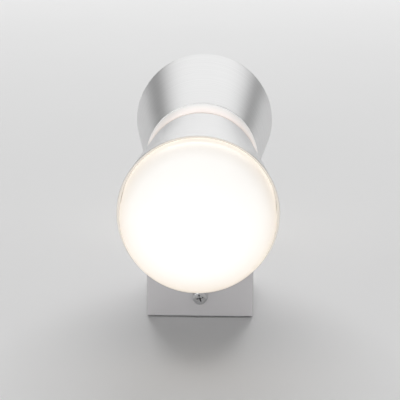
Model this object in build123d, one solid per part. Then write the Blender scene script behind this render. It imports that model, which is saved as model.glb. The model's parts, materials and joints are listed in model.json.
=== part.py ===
from build123d import *
import math
import os

# Pivoting wall light: an hourglass head, lit at both ends and at its waist, that
# swivels on a short neck in front of a square wall box.
# Frame: +Z up, +X to the right, the wall is the plane Y = 0 and the light stands
# on its -Y side. Origin: middle of the wall plate's back face. Millimetres.

# ---------------------------------------------------------------- head
rim_radius = 40.0          # cone, outside, at its open end
waist_radius = 30.6        # lit ring, and each cone where it meets the ring
ring_height = 19.2         # lit ring along Z
ring_wall = 2.4
head_length = 182.0        # from rim to rim
cone_wall = 1.6
cone_floor = 2.0           # inward flange of a cone, seated on the hub
cone_floor_bore = 20.0     # radius
rim_chamfer = 0.3
groove = 1.2               # shadow groove between the ring and each cone
groove_depth = 0.8

# diffusers
lip_gap = 0.2              # diffuser to the inside of the rim, radial
rim_lip = 1.6              # metal left round the diffuser at the rim
diffuser_wall = 2.4
diffuser_band = 3.2        # straight part that stands proud of the rim
dome_height = 28.0
dome_shoulder = 20.0       # radius of the dome's outer arc
rim_bore_depth = 5.0       # counterbore that takes the diffuser's skirt
gasket_height = 1.0

# hub inside the waist
drum_radius = 20.0
drum_wall = 4.0
flange_thickness = 4.0
flange_to_ring = 0.2       # radial play of the lit ring on the flanges
hub_screw_count = 3
hub_screw_radius = 1.25
hub_screw_grip = 8.0       # thread length in the drum
hub_screw_first = 30.0     # degrees

# light ring's strip
strip_thickness = 0.4
strip_width = 8.0
strip_gap_angle = 64.0     # open part of the strip behind the neck, degrees
strip_end_margin = 5.0     # bare ends of the strip, degrees
strip_led_count = 22
led_side = 2.8
led_height = 0.8

# light engines at both ends
sink_disc = 3.0
sink_below_rim = 11.0      # top face of the disc, below the rim
sink_rim_wall = 1.8
sink_to_cone = 0.15        # play between the disc's tapered edge and the cone
fin_count = 12
fin_thickness = 1.2
fin_height = 25.0
fin_to_cone = 3.0
sink_boss_radius = 6.0
board_bore = 5.4
board_thickness = 1.6
inner_led_pitch = 13.0     # radius
inner_led_count = 8
outer_led_pitch = 22.0     # radius
outer_led_count = 14
board_screw_count = 3
board_screw_pitch = 27.6   # radius
board_screw_to_edge = 3.4  # from a screw's axis to the board's edge
board_screw_first = 90.0   # degrees
tie_screw_radius = 2.0
lead_radius = 1.2
lead_offset = 10.0         # leads beside the tie screws

# splice block in the hub
splice_width = 23.0
splice_depth = 10.0
splice_height = 11.0

# ---------------------------------------------------------------- neck and swivel
neck_radius = 11.5
spigot_radius = 8.3        # passes through the lit ring
spigot_hole_play = 0.3
spigot_nose_radius = 6.0
spigot_nose_short = 0.5    # nose end, back from the drum's inside
spigot_seat = 19.0         # flat on the drum, from the head axis
shoulder_gap = 0.6         # between the lit ring and the spigot's shoulder
spigot_proud = 5.2         # thick part of the spigot, between the head and the swivel
swivel_gap = 0.3           # between the turning and the fixed neck faces
swivel_radius = 5.0
swivel_bore = 3.3          # radius
swivel_running_fit = 0.05
tube_in_spigot = 12.5      # length of tube held in the spigot
bush_radius = 7.0
bush_flange_radius = 10.0
bush_flange = 1.0
bush_proud = 0.3           # bush past the collar, inside the box
collar_length = 5.3        # in front of the box
collar_thread_radius = 9.0
collar_inside = 5.2        # collar thread past the box's front wall
collar_nut_height = 4.0
collar_nut_flats = 24.0
stop_washer_thickness = 1.2
stop_washer_radius = 8.5
stop_tab_reach = 12.4
stop_tab_width = 2.0
stop_pin_radius = 0.8
stop_pin_pitch = 11.0      # radius
stop_pin_seat = 2.5        # depth in the collar nut
stop_pin_past = 0.6        # past the stop washer's tab
spring_height = 1.6
spring_thickness = 0.6
lock_nut_height = 4.0
lock_nut_flats = 17.0
tube_past_nut = 0.8
cable_radius = 2.6
cable_past_tube = 3.6
connector_radius = 4.6
connector_length = 8.4

# ---------------------------------------------------------------- wall box
box_side = 57.0
box_depth = 35.5
box_wall = 1.8
box_edge = 1.0             # rounding of the outer edges
cover_to_wall = 1.2        # shadow gap behind the cover
plate_thickness = 2.0
plate_corner = 3.0
plate_to_cover = 0.3
tab_width = 16.0
tab_depth = 17.5           # from the wall
cover_screw_from_wall = 12.1
cover_screw_radius = 2.0
cover_screw_length = 7.6
pan_head_radius = 4.0
pan_head_height = 2.6
wall_slot_radius = 2.25
wall_slot_length = 9.0     # whole length of a slot, along Z
wall_slot_spacing = 36.0   # between the two slots, along Z
entry_radius = 6.5         # hole for the supply cable's grommet
grommet_bore = 4.0
grommet_flange = 1.4       # radial, on the inner face
grommet_lip = 1.2
grommet_short = 0.2        # sleeve end, back from the wall

# driver
driver_width = 14.2        # along X, on the left
driver_to_edge = 1.0       # from the plate's edge
driver_length = 32.0       # along Z, without its ears
driver_depth = 16.0
driver_wall = 1.2
driver_ear = 6.0
driver_ear_thickness = 1.6
driver_ear_width = 8.0
driver_post_radius = 1.5
driver_board_lift = 2.0
driver_board_thickness = 1.4
capacitor_radius = 3.6
capacitor_height = 8.0
capacitor_z = 9.0
transformer_half = 5.0     # half its width along X
transformer_height = 7.5
transformer_z = (-6.0, 3.0)
filter_half = 4.0
filter_height = 5.0
filter_z = (-13.5, -10.5)
choke_radius = 1.6
choke_x = 3.5              # from the driver's middle
choke_z = -8.2

# supply terminals and earth point
block_width = 13.0         # along X, on the right
block_to_edge = 2.4        # from the plate's edge
block_length = 26.0
block_depth = 11.0
block_floor = 3.0          # under the heads of its fixing screws
block_rounding = 0.8
pole_count = 3
pole_pitch = 8.0
pole_bore = 1.7
terminal_screw_radius = 1.8
terminal_screw_sunk = 0.8
terminal_slot = (4.0, 0.5, 0.7)         # length, width and depth of the driver slot
mains_lead_radius = 1.0
mains_lead_height = 4.5    # above the plate
mains_lead_bare = 4.0      # length of each lead inside its pole
earth_to_side = 9.4        # from the plate's side edge
earth_to_top = 5.4         # from the plate's top edge
earth_washer_radius = 4.4
earth_washer_thickness = 0.8
earth_head_radius = 3.6
earth_head_height = 2.2
earth_screw_length = 2.6

# small screws and play
small_screw_radius = 1.5
small_head_radius = 2.6
small_head_height = 1.8
screw_play = 0.05
hole_play = 0.2

# ---------------------------------------------------------------- derived places
ring_half = ring_height / 2
cone_start = ring_half + groove
rim_height = head_length / 2
flange_radius = waist_radius - ring_wall - flange_to_ring
flange_inner = ring_half - 1.0
flange_outer = flange_inner + flange_thickness
diffuser_radius = rim_radius - rim_lip - lip_gap
skirt_end = rim_height - rim_bore_depth + gasket_height
gasket_seat = rim_height - rim_bore_depth
sink_top = rim_height - sink_below_rim
sink_bottom = sink_top - sink_disc
board_radius = board_screw_pitch + board_screw_to_edge
fin_end = sink_bottom - fin_height
spigot_shoulder = waist_radius + shoulder_gap
spigot_end = spigot_shoulder + spigot_proud
axis_to_wall = spigot_end + swivel_gap + bush_flange + collar_length + box_depth

box_front = -box_depth
box_inner_front = box_front + box_wall
collar_front = box_front - collar_length
collar_end = box_inner_front + collar_inside
bush_end = collar_end + bush_proud
stop_washer_start = bush_end + swivel_gap
spring_start = stop_washer_start + stop_washer_thickness
lock_nut_start = spring_start + spring_height
tube_end = lock_nut_start + lock_nut_height + tube_past_nut
cable_end = tube_end + cable_past_tube
plate_front = -plate_thickness
plate_half = box_side / 2 - box_wall - plate_to_cover
driver_front = plate_front - driver_depth
driver_x = (driver_to_edge - plate_half, driver_to_edge - plate_half + driver_width)
block_x = (plate_half - block_to_edge - block_width, plate_half - block_to_edge)
earth_x = plate_half - earth_to_side
earth_z = plate_half - earth_to_top


def cone_radius(height):
    """Outer radius of a cone at a height above the middle of the waist."""
    share = (height - cone_start) / (rim_height - cone_start)
    return waist_radius + (rim_radius - waist_radius) * share


def rod(radius, start, end, direction, across=(0.0, 0.0)):
    """A round bar along X, Y or Z; across holds its other two coordinates."""
    low = min(start, end)
    bar = Cylinder(radius, abs(end - start), align=(Align.CENTER, Align.CENTER, Align.MIN))
    if direction == "Z":
        return Pos(across[0], across[1], low) * bar
    if direction == "Y":
        return Pos(across[0], low, across[1]) * Rot(-90, 0, 0) * bar
    return Pos(low, across[0], across[1]) * Rot(0, 90, 0) * bar


def pipe(radius, bore, start, end, direction, across=(0.0, 0.0)):
    """A round bar with a round bore."""
    longer = 1.0
    hole = rod(bore, min(start, end) - longer, max(start, end) + longer, direction, across)
    return rod(radius, start, end, direction, across) - hole


def block(xs, ys, zs):
    """A rectangular block between pairs of coordinates."""
    middle = Pos((xs[0] + xs[1]) / 2, (ys[0] + ys[1]) / 2, (zs[0] + zs[1]) / 2)
    return middle * Box(abs(xs[1] - xs[0]), abs(ys[1] - ys[0]), abs(zs[1] - zs[0]))


def turned(points):
    """A solid turned about Z from a closed outline of (radius, height) points."""
    outline = make_face(Polyline(*points, close=True))
    return revolve(Plane.XZ * outline, Axis.Z)


def around(count, pitch, first=0.0):
    """Angles in degrees and places on a circle about Z."""
    for index in range(count):
        angle = first + index * 360.0 / count
        yield angle, pitch * math.cos(math.radians(angle)), pitch * math.sin(math.radians(angle))


def pan_screw(shank_radius, length, head_radius, head_height):
    """A pan-head screw along +Z: seat of the head at Z = 0, shank below it."""
    head = Cylinder(head_radius, head_height, align=(Align.CENTER, Align.CENTER, Align.MIN))
    top_edge = head.edges().sort_by(Axis.Z)[-1]
    head = fillet(top_edge, 0.45 * head_height)
    shank = rod(shank_radius, -length, 0.0, "Z")
    arm = 0.55 * head_radius
    slot = 0.13 * head_radius
    depth = 0.6 * head_height
    high = head_height + 1.0
    cross = block((-arm, arm), (-slot, slot), (head_height - depth, high))
    cross += block((-slot, slot), (-arm, arm), (head_height - depth, high))
    cross += Pos(0, 0, head_height - depth / 2) * Cone(0.16 * head_radius, 0.34 * head_radius, depth)
    return head + shank - cross


def hex_nut(flats, bore, start, end):
    """A hexagon nut on the swivel axis, along Y."""
    prism = extrude(RegularPolygon(flats / math.sqrt(3), 6), abs(end - start))
    nut = Pos(0, max(start, end), 0) * Rot(90, 0, 0) * prism
    return nut - rod(bore, min(start, end) - 1.0, max(start, end) + 1.0, "Y")


def facing_wall(screw):
    """Turns a screw made along +Z so that its head faces -Y."""
    return Rot(90, 0, 0) * screw


def lower(shape):
    """The same piece at the lower end: a half turn about the swivel axis."""
    return Rot(0, 180, 0) * shape


def group(solids):
    """Separate solids of one kind in one node."""
    return Compound([item for solid in solids for item in solid.solids()])


# ---------------------------------------------------------------- head pieces
# They are made about the head axis and moved out from the wall when written.


def make_cone():
    floor_top = flange_outer + cone_floor
    rim_bore = rim_radius - rim_lip
    return turned([
        (waist_radius - cone_wall, cone_start),
        (waist_radius, cone_start),
        (rim_radius, rim_height - rim_chamfer),
        (rim_radius - rim_chamfer, rim_height),
        (rim_bore, rim_height),
        (rim_bore, gasket_seat),
        (cone_radius(gasket_seat) - cone_wall, gasket_seat),
        (cone_radius(floor_top) - cone_wall, floor_top),
        (cone_floor_bore, floor_top),
        (cone_floor_bore, flange_outer),
        (cone_radius(flange_outer) - cone_wall, flange_outer),
    ])


def domed_plug(inset, bottom):
    """A round plug, straight up from its bottom and then domed in two tangent arcs.

    The inset moves the whole outline inwards, so two plugs leave an even wall.
    """
    foot = rim_height + diffuser_band
    radius = diffuser_radius - inset
    out = diffuser_radius - dome_shoulder
    crown = (out**2 + dome_height**2 - dome_shoulder**2) / (2 * (dome_height - dome_shoulder))
    crown_centre = foot + dome_height - crown
    turn = math.degrees(math.atan2(foot - crown_centre, out))
    top = foot + dome_height - inset
    edges = [
        CenterArc((out, foot), dome_shoulder - inset, 0, turn),
        CenterArc((0, crown_centre), crown - inset, turn, 90 - turn),
        Line((0, top), (0, bottom)),
        Line((0, bottom), (radius, bottom)),
        Line((radius, bottom), (radius, foot)),
    ]
    return revolve(Plane.XZ * make_face(edges), Axis.Z)


def make_diffuser():
    return domed_plug(0, skirt_end) - domed_plug(diffuser_wall, skirt_end - 1)


def make_gasket():
    inner = diffuser_radius - diffuser_wall
    return pipe(diffuser_radius, inner, gasket_seat, skirt_end, "Z")


def board_screw_places():
    return [(x, y) for _, x, y in around(board_screw_count, board_screw_pitch, board_screw_first)]


def hub_screw_places():
    pitch = drum_radius - drum_wall / 2
    return [(x, y) for _, x, y in around(hub_screw_count, pitch, hub_screw_first)]


def make_heat_sink():
    edge_top = cone_radius(sink_top) - cone_wall - sink_to_cone
    edge_bottom = cone_radius(sink_bottom) - cone_wall - sink_to_cone
    wall_inner = edge_top - sink_rim_wall
    sink = turned([
        (0, sink_bottom),
        (edge_bottom, sink_bottom),
        (edge_top, sink_top),
        (edge_top, gasket_seat),
        (wall_inner, gasket_seat),
        (wall_inner, sink_top),
        (0, sink_top),
    ])
    sink += rod(sink_boss_radius, fin_end, sink_bottom, "Z")
    fin_reach = cone_radius(fin_end) - cone_wall - fin_to_cone
    fin = block((0, fin_reach), (-fin_thickness / 2, fin_thickness / 2), (fin_end, sink_bottom))
    for angle, _, _ in around(fin_count, fin_reach, 180.0 / fin_count):
        sink += Rot(0, 0, angle) * fin
    sink -= rod(tie_screw_radius + hole_play, fin_end - 1, sink_top + 1, "Z")
    sink -= rod(lead_radius + hole_play, sink_bottom - 1, sink_top + 1, "Z", (lead_offset, 0))
    for x, y in board_screw_places():
        sink -= rod(small_screw_radius + screw_play, sink_bottom - 1, sink_top + 1, "Z", (x, y))
    return sink


def make_tie_screw():
    length = sink_top - flange_inner
    screw = pan_screw(tie_screw_radius, length, pan_head_radius, pan_head_height)
    return Pos(0, 0, sink_top) * screw


def make_led_board():
    board = pipe(board_radius, board_bore, sink_top, sink_top + board_thickness, "Z")
    hole_radius = small_screw_radius + hole_play
    for place in board_screw_places():
        board -= rod(hole_radius, sink_top - 1, sink_top + board_thickness + 1, "Z", place)
    return board


def make_leds():
    base = sink_top + board_thickness
    chip = block((-led_side / 2, led_side / 2), (-led_side / 2, led_side / 2), (base, base + led_height))
    chips = []
    for pitch, count in ((inner_led_pitch, inner_led_count), (outer_led_pitch, outer_led_count)):
        for angle, x, y in around(count, pitch, 180.0 / count):
            chips.append(Pos(x, y, 0) * Rot(0, 0, angle) * chip)
    return group(chips)


def make_board_screws():
    length = board_thickness + sink_disc
    screw = pan_screw(small_screw_radius, length, small_head_radius, small_head_height)
    base = sink_top + board_thickness
    return group([Pos(x, y, base) * screw for x, y in board_screw_places()])


def make_end_lead():
    """The pair of wires, as one round lead, from the splice block to a board."""
    return rod(lead_radius, splice_height / 2, sink_top, "Z", (lead_offset, 0))


def make_light_ring():
    ring = pipe(waist_radius, waist_radius - ring_wall, -ring_half, ring_half, "Z")
    return ring - rod(spigot_radius + spigot_hole_play, 0, waist_radius + 1, "Y")


def make_waist_seals():
    seal = pipe(waist_radius - groove_depth, waist_radius - ring_wall, ring_half, cone_start, "Z")
    return group([seal, lower(seal)])


def make_hub():
    hub = rod(drum_radius, -flange_inner, flange_inner, "Z")
    hub += rod(flange_radius, -flange_outer, -flange_inner, "Z")
    hub -= rod(drum_radius - drum_wall, -flange_inner, flange_inner + 1, "Z")
    hub -= rod(spigot_nose_radius + screw_play, 0, drum_radius + 1, "Y")
    hub -= rod(spigot_radius + hole_play, spigot_seat, drum_radius + 1, "Y")
    hub -= rod(tie_screw_radius + screw_play, -flange_outer - 1, -flange_inner + 1, "Z")
    hub -= rod(lead_radius + hole_play, -flange_outer - 1, -flange_inner + 1, "Z", (-lead_offset, 0))
    for x, y in hub_screw_places():
        deep = flange_inner - hub_screw_grip - hole_play
        hub -= rod(hub_screw_radius + screw_play, deep, flange_inner + 1, "Z", (x, y))
    return hub


def make_hub_lid():
    lid = rod(flange_radius, flange_inner, flange_outer, "Z")
    lid -= rod(tie_screw_radius + screw_play, flange_inner - 1, flange_outer + 1, "Z")
    lid -= rod(lead_radius + hole_play, flange_inner - 1, flange_outer + 1, "Z", (lead_offset, 0))
    sunk = flange_outer - small_head_height
    for x, y in hub_screw_places():
        lid -= rod(hub_screw_radius + hole_play, flange_inner - 1, flange_outer + 1, "Z", (x, y))
        lid -= rod(small_head_radius + hole_play, sunk, flange_outer + 1, "Z", (x, y))
    return lid


def make_hub_screws():
    seat = flange_outer - small_head_height
    length = seat - flange_inner + hub_screw_grip
    screw = pan_screw(hub_screw_radius, length, small_head_radius, small_head_height)
    return group([Pos(x, y, seat) * screw for x, y in hub_screw_places()])


def make_splice_block():
    shape = block(
        (-splice_width / 2, splice_width / 2),
        (-splice_depth / 2, splice_depth / 2),
        (-splice_height / 2, splice_height / 2),
    )
    return fillet(shape.edges().filter_by(Axis.Z), 1.0)


def make_ring_strip():
    outer = drum_radius + strip_thickness
    band = pipe(outer, drum_radius, -strip_width / 2, strip_width / 2, "Z")
    reach = 2 * drum_radius
    half = math.radians(strip_gap_angle / 2)
    wedge = make_face(Polyline(
        (0, 0),
        (-reach * math.tan(half), reach),
        (reach * math.tan(half), reach),
        close=True,
    ))
    return band - Pos(0, 0, -strip_width) * extrude(wedge, 2 * strip_width)


def make_ring_leds():
    inner = drum_radius + strip_thickness
    chip = block((inner, inner + led_height), (-led_side / 2, led_side / 2), (-led_side / 2, led_side / 2))
    first = 90.0 + strip_gap_angle / 2 + strip_end_margin
    step = (360.0 - strip_gap_angle - 2 * strip_end_margin) / (strip_led_count - 1)
    return group([Rot(0, 0, first + index * step) * chip for index in range(strip_led_count)])


def make_neck_spigot():
    nose_end = drum_radius - drum_wall + spigot_nose_short
    spigot = rod(spigot_nose_radius, nose_end, spigot_seat, "Y")
    spigot += rod(spigot_radius, spigot_seat, spigot_shoulder, "Y")
    spigot += rod(neck_radius, spigot_shoulder, spigot_end, "Y")
    spigot -= rod(swivel_bore, 0, spigot_end + 1, "Y")
    return spigot - rod(swivel_radius + screw_play, spigot_end - tube_in_spigot, spigot_end + 1, "Y")


# ---------------------------------------------------------------- swivel pieces
# From here on the pieces are made in their place on the wall.


def make_swivel_tube():
    start = -axis_to_wall + spigot_end - tube_in_spigot
    return pipe(swivel_radius, swivel_bore, start, tube_end, "Y")


def make_stop_washer():
    end = stop_washer_start + stop_washer_thickness
    disc = rod(stop_washer_radius, stop_washer_start, end, "Y")
    disc += block((-stop_tab_width / 2, stop_tab_width / 2), (stop_washer_start, end), (0, stop_tab_reach))
    return disc - rod(swivel_radius + screw_play, stop_washer_start - 1, end + 1, "Y")


def make_spring_washer():
    inner = swivel_radius + hole_play
    outer = stop_washer_radius
    dish = turned([
        (inner, spring_height - spring_thickness),
        (outer, 0),
        (outer, spring_thickness),
        (inner, spring_height),
    ])
    return Pos(0, spring_start, 0) * Rot(-90, 0, 0) * dish


def make_lock_nut():
    end = lock_nut_start + lock_nut_height
    return hex_nut(lock_nut_flats, swivel_radius + screw_play, lock_nut_start, end)


def make_head_cable():
    return rod(cable_radius, -axis_to_wall + splice_depth / 2, cable_end, "Y")


def make_lead_connector():
    return rod(connector_radius, cable_end, cable_end + connector_length, "Y")


def make_swivel_bush():
    bush = rod(bush_flange_radius, collar_front - bush_flange, collar_front, "Y")
    bush += rod(bush_radius, collar_front, bush_end, "Y")
    bore_start = collar_front - bush_flange - 1
    return bush - rod(swivel_radius + swivel_running_fit, bore_start, bush_end + 1, "Y")


def make_neck_collar():
    collar = rod(neck_radius, collar_front, box_front, "Y")
    collar += rod(collar_thread_radius, box_front, collar_end, "Y")
    return collar - rod(bush_radius + screw_play, collar_front - 1, collar_end + 1, "Y")


def make_collar_nut():
    end = box_inner_front + collar_nut_height
    nut = hex_nut(collar_nut_flats, collar_thread_radius + screw_play, box_inner_front, end)
    return nut - rod(stop_pin_radius + screw_play, end - stop_pin_seat, end + 1, "Y", (0, -stop_pin_pitch))


def make_stop_pin():
    start = box_inner_front + collar_nut_height - stop_pin_seat
    end = stop_washer_start + stop_washer_thickness + stop_pin_past
    return rod(stop_pin_radius, start, end, "Y", (0, -stop_pin_pitch))


# ---------------------------------------------------------------- wall box pieces


def make_box_cover():
    half = box_side / 2
    shell = block((-half, half), (box_front, -cover_to_wall), (-half, half))
    front = shell.faces().sort_by(Axis.Y)[0]
    shell = fillet(shell.edges().filter_by(Axis.Y) + front.edges(), box_edge)
    inner = half - box_wall
    shell -= block((-inner, inner), (box_inner_front, 1), (-inner, inner))
    shell -= rod(collar_thread_radius + hole_play, box_front - 1, box_inner_front + 1, "Y")
    return shell - rod(cover_screw_radius + hole_play, -half - 1, half + 1, "Z", (0, -cover_screw_from_wall))


def make_cover_screws():
    screw = pan_screw(cover_screw_radius, cover_screw_length, pan_head_radius, pan_head_height)
    top = Pos(0, -cover_screw_from_wall, box_side / 2) * screw
    return group([top, lower(top)])


def wall_slot(z):
    """Cutter of one slot for a wall screw."""
    reach = wall_slot_length / 2 - wall_slot_radius
    cut = rod(wall_slot_radius, plate_front - 1, 1, "Y", (0, z - reach))
    cut += rod(wall_slot_radius, plate_front - 1, 1, "Y", (0, z + reach))
    return cut + block((-wall_slot_radius, wall_slot_radius), (plate_front - 1, 1), (z - reach, z + reach))


def make_wall_plate():
    plate = block((-plate_half, plate_half), (plate_front, 0), (-plate_half, plate_half))
    plate = fillet(plate.edges().filter_by(Axis.Y), plate_corner)
    tab = block(
        (-tab_width / 2, tab_width / 2),
        (-tab_depth, plate_front / 2),
        (plate_half - plate_thickness, plate_half),
    )
    tab -= rod(cover_screw_radius + screw_play, 0, plate_half + 1, "Z", (0, -cover_screw_from_wall))
    plate += tab
    plate += lower(tab)
    plate -= rod(entry_radius, plate_front - 1, 1, "Y")
    plate -= wall_slot(wall_slot_spacing / 2)
    plate -= wall_slot(-wall_slot_spacing / 2)
    for x, z in small_screw_places():
        plate -= rod(small_screw_radius + screw_play, plate_front - 1, 1, "Y", (x, z))
    return plate - rod(cover_screw_radius + screw_play, plate_front - 1, 1, "Y", (earth_x, earth_z))


def driver_middle():
    return (driver_x[0] + driver_x[1]) / 2


def block_middle():
    return (block_x[0] + block_x[1]) / 2


def driver_screw_places():
    reach = (driver_length + driver_ear) / 2
    return [(driver_middle(), reach), (driver_middle(), -reach)]


def block_screw_places():
    return [(block_middle(), pole_pitch / 2), (block_middle(), -pole_pitch / 2)]


def small_screw_places():
    return driver_screw_places() + block_screw_places()


def make_cable_grommet():
    lip_radius = entry_radius + grommet_flange
    sleeve = rod(entry_radius, plate_front, -grommet_short, "Y")
    sleeve += rod(lip_radius, plate_front - grommet_lip, plate_front, "Y")
    return sleeve - rod(grommet_bore, plate_front - grommet_lip - 1, 1, "Y")


def make_driver_case():
    length = driver_length / 2
    ear = length + driver_ear
    case = block(driver_x, (driver_front + driver_wall, plate_front), (-length, length))
    ear_x = (driver_middle() - driver_ear_width / 2, driver_middle() + driver_ear_width / 2)
    case += block(ear_x, (plate_front - driver_ear_thickness, plate_front), (-ear, ear))
    inside_x = (driver_x[0] + driver_wall, driver_x[1] - driver_wall)
    floor = plate_front - driver_wall
    case -= block(inside_x, (driver_front - 1, floor), (-length + driver_wall, length - driver_wall))
    post_z = length - driver_wall - driver_post_radius
    for x in (inside_x[0] + driver_post_radius, inside_x[1] - driver_post_radius):
        for z in (-post_z, post_z):
            case += rod(driver_post_radius, floor, floor - driver_board_lift, "Y", (x, z))
    for x, z in driver_screw_places():
        case -= rod(small_screw_radius + hole_play, -driver_depth, 1, "Y", (x, z))
    return case


def make_driver_lid():
    length = driver_length / 2
    return block(driver_x, (driver_front, driver_front + driver_wall), (-length, length))


def driver_board_back():
    return plate_front - driver_wall - driver_board_lift


def make_driver_board():
    inset = driver_wall + hole_play
    length = driver_length / 2 - inset
    xs = (driver_x[0] + inset, driver_x[1] - inset)
    return block(xs, (driver_board_back() - driver_board_thickness, driver_board_back()), (-length, length))


def make_driver_parts():
    """Capacitor, transformer and two small blocks on the driver's board."""
    face = driver_board_back() - driver_board_thickness
    middle = driver_middle()
    capacitor = rod(capacitor_radius, face, face - capacitor_height, "Y", (middle, capacitor_z))
    transformer_x = (middle - transformer_half, middle + transformer_half)
    transformer = block(transformer_x, (face - transformer_height, face), transformer_z)
    filter_part = block((middle - filter_half, middle + filter_half), (face - filter_height, face), filter_z)
    choke = rod(choke_radius, face, face - filter_height, "Y", (middle + choke_x, choke_z))
    return group([capacitor, transformer, filter_part, choke])


def make_driver_screws():
    length = driver_ear_thickness + plate_thickness
    screw = facing_wall(pan_screw(small_screw_radius, length, small_head_radius, small_head_height))
    seat = plate_front - driver_ear_thickness
    return group([Pos(x, seat, z) * screw for x, z in driver_screw_places()])


def pole_places():
    return [(index - (pole_count - 1) / 2) * pole_pitch for index in range(pole_count)]


def make_terminal_block():
    length = block_length / 2
    front = plate_front - block_depth
    body = block(block_x, (front, plate_front), (-length, length))
    body = fillet(body.edges().filter_by(Axis.X).group_by(Axis.Y)[0], block_rounding)
    for z in pole_places():
        height = plate_front - mains_lead_height
        body -= rod(pole_bore, block_x[0] - 1, block_x[1] + 1, "X", (height, z))
        body -= rod(terminal_screw_radius + screw_play, front - 1, height, "Y", (block_middle(), z))
    for x, z in block_screw_places():
        body -= rod(small_screw_radius + hole_play, front - 1, plate_front + 1, "Y", (x, z))
        body -= rod(small_head_radius + hole_play, front - 1, plate_front - block_floor, "Y", (x, z))
    return body


def make_terminal_screws():
    start = plate_front - block_depth + terminal_screw_sunk
    end = plate_front - mains_lead_height - mains_lead_radius
    middle = block_middle()
    length, width, depth = terminal_slot
    screws = []
    for z in pole_places():
        screw = rod(terminal_screw_radius, start, end, "Y", (middle, z))
        slot_x = (middle - length / 2, middle + length / 2)
        slot = block(slot_x, (start - 1, start + depth), (z - width / 2, z + width / 2))
        screws.append(screw - slot)
    return group(screws)


def make_block_screws():
    seat = plate_front - block_floor
    length = block_floor + plate_thickness
    screw = facing_wall(pan_screw(small_screw_radius, length, small_head_radius, small_head_height))
    return group([Pos(x, seat, z) * screw for x, z in block_screw_places()])


def make_mains_leads():
    """Two short leads from the driver to the outer supply poles."""
    height = plate_front - mains_lead_height
    lead_end = block_x[0] + mains_lead_bare
    outer = (pole_places()[0], pole_places()[-1])
    return group([rod(mains_lead_radius, driver_x[1], lead_end, "X", (height, z)) for z in outer])


def make_earth_washer():
    bore = cover_screw_radius + hole_play
    place = (earth_x, earth_z)
    return pipe(earth_washer_radius, bore, plate_front - earth_washer_thickness, plate_front, "Y", place)


def make_earth_screw():
    screw = pan_screw(cover_screw_radius, earth_screw_length, earth_head_radius, earth_head_height)
    return Pos(earth_x, plate_front - earth_washer_thickness, earth_z) * facing_wall(screw)


# ---------------------------------------------------------------- output

END_PIECES = {
    "cone": make_cone,
    "diffuser": make_diffuser,
    "gasket": make_gasket,
    "heat_sink": make_heat_sink,
    "tie_screw": make_tie_screw,
    "led_board": make_led_board,
    "leds": make_leds,
    "board_screws": make_board_screws,
    "lead": make_end_lead,
}

HEAD_PIECES = {
    "light_ring": make_light_ring,
    "waist_seals": make_waist_seals,
    "waist_hub": make_hub,
    "hub_lid": make_hub_lid,
    "hub_screws": make_hub_screws,
    "splice_block": make_splice_block,
    "ring_led_strip": make_ring_strip,
    "ring_leds": make_ring_leds,
    "neck_spigot": make_neck_spigot,
}

PLACED_PIECES = {
    "swivel_tube": make_swivel_tube,
    "stop_washer": make_stop_washer,
    "spring_washer": make_spring_washer,
    "lock_nut": make_lock_nut,
    "head_cable": make_head_cable,
    "lead_connector": make_lead_connector,
    "swivel_bush": make_swivel_bush,
    "neck_collar": make_neck_collar,
    "collar_nut": make_collar_nut,
    "stop_pin": make_stop_pin,
    "box_cover": make_box_cover,
    "cover_screws": make_cover_screws,
    "wall_plate": make_wall_plate,
    "cable_grommet": make_cable_grommet,
    "driver_case": make_driver_case,
    "driver_lid": make_driver_lid,
    "driver_board": make_driver_board,
    "driver_parts": make_driver_parts,
    "driver_screws": make_driver_screws,
    "terminal_block": make_terminal_block,
    "terminal_screws": make_terminal_screws,
    "block_screws": make_block_screws,
    "mains_leads": make_mains_leads,
    "earth_washer": make_earth_washer,
    "earth_screw": make_earth_screw,
}

os.makedirs("parts", exist_ok=True)
head_place = Pos(0, -axis_to_wall, 0)

for name, make in END_PIECES.items():
    upper_piece = make()
    export_step(head_place * upper_piece, "parts/upper_" + name + ".step")
    export_step(head_place * lower(upper_piece), "parts/lower_" + name + ".step")

for name, make in HEAD_PIECES.items():
    export_step(head_place * make(), "parts/" + name + ".step")

for name, make in PLACED_PIECES.items():
    export_step(make(), "parts/" + name + ".step")
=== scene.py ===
"""Dresses the swivelling hourglass wall light: finishes, turned shells, stage, lamps and camera.

Everything is in metres in the light's own frame: +Z up, the wall is the plane Y = 0 and the
light stands on its -Y side, with the origin on the wall behind the middle of the wall box.
"""

import json
import math

import bpy
from bpy.props import FloatProperty, FloatVectorProperty, IntProperty, PointerProperty
from mathutils import Matrix, Vector


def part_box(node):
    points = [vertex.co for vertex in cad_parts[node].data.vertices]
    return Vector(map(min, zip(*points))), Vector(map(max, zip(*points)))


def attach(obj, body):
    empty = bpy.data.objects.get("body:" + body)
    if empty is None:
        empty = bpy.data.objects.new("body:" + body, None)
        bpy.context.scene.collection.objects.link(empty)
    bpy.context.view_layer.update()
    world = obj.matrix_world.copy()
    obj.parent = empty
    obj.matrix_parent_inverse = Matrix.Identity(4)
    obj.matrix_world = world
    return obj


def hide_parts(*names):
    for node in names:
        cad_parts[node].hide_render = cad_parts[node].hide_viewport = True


bl_info = {
    "name": "Hourglass Wall Light",
    "version": (1, 0, 0),
    "blender": (4, 5, 0),
    "location": "3D View > Sidebar > Wall Light",
    "description": "Builds the shells, finishes, stage, lamps and camera of an hourglass wall light",
    "category": "Object",
}

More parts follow.
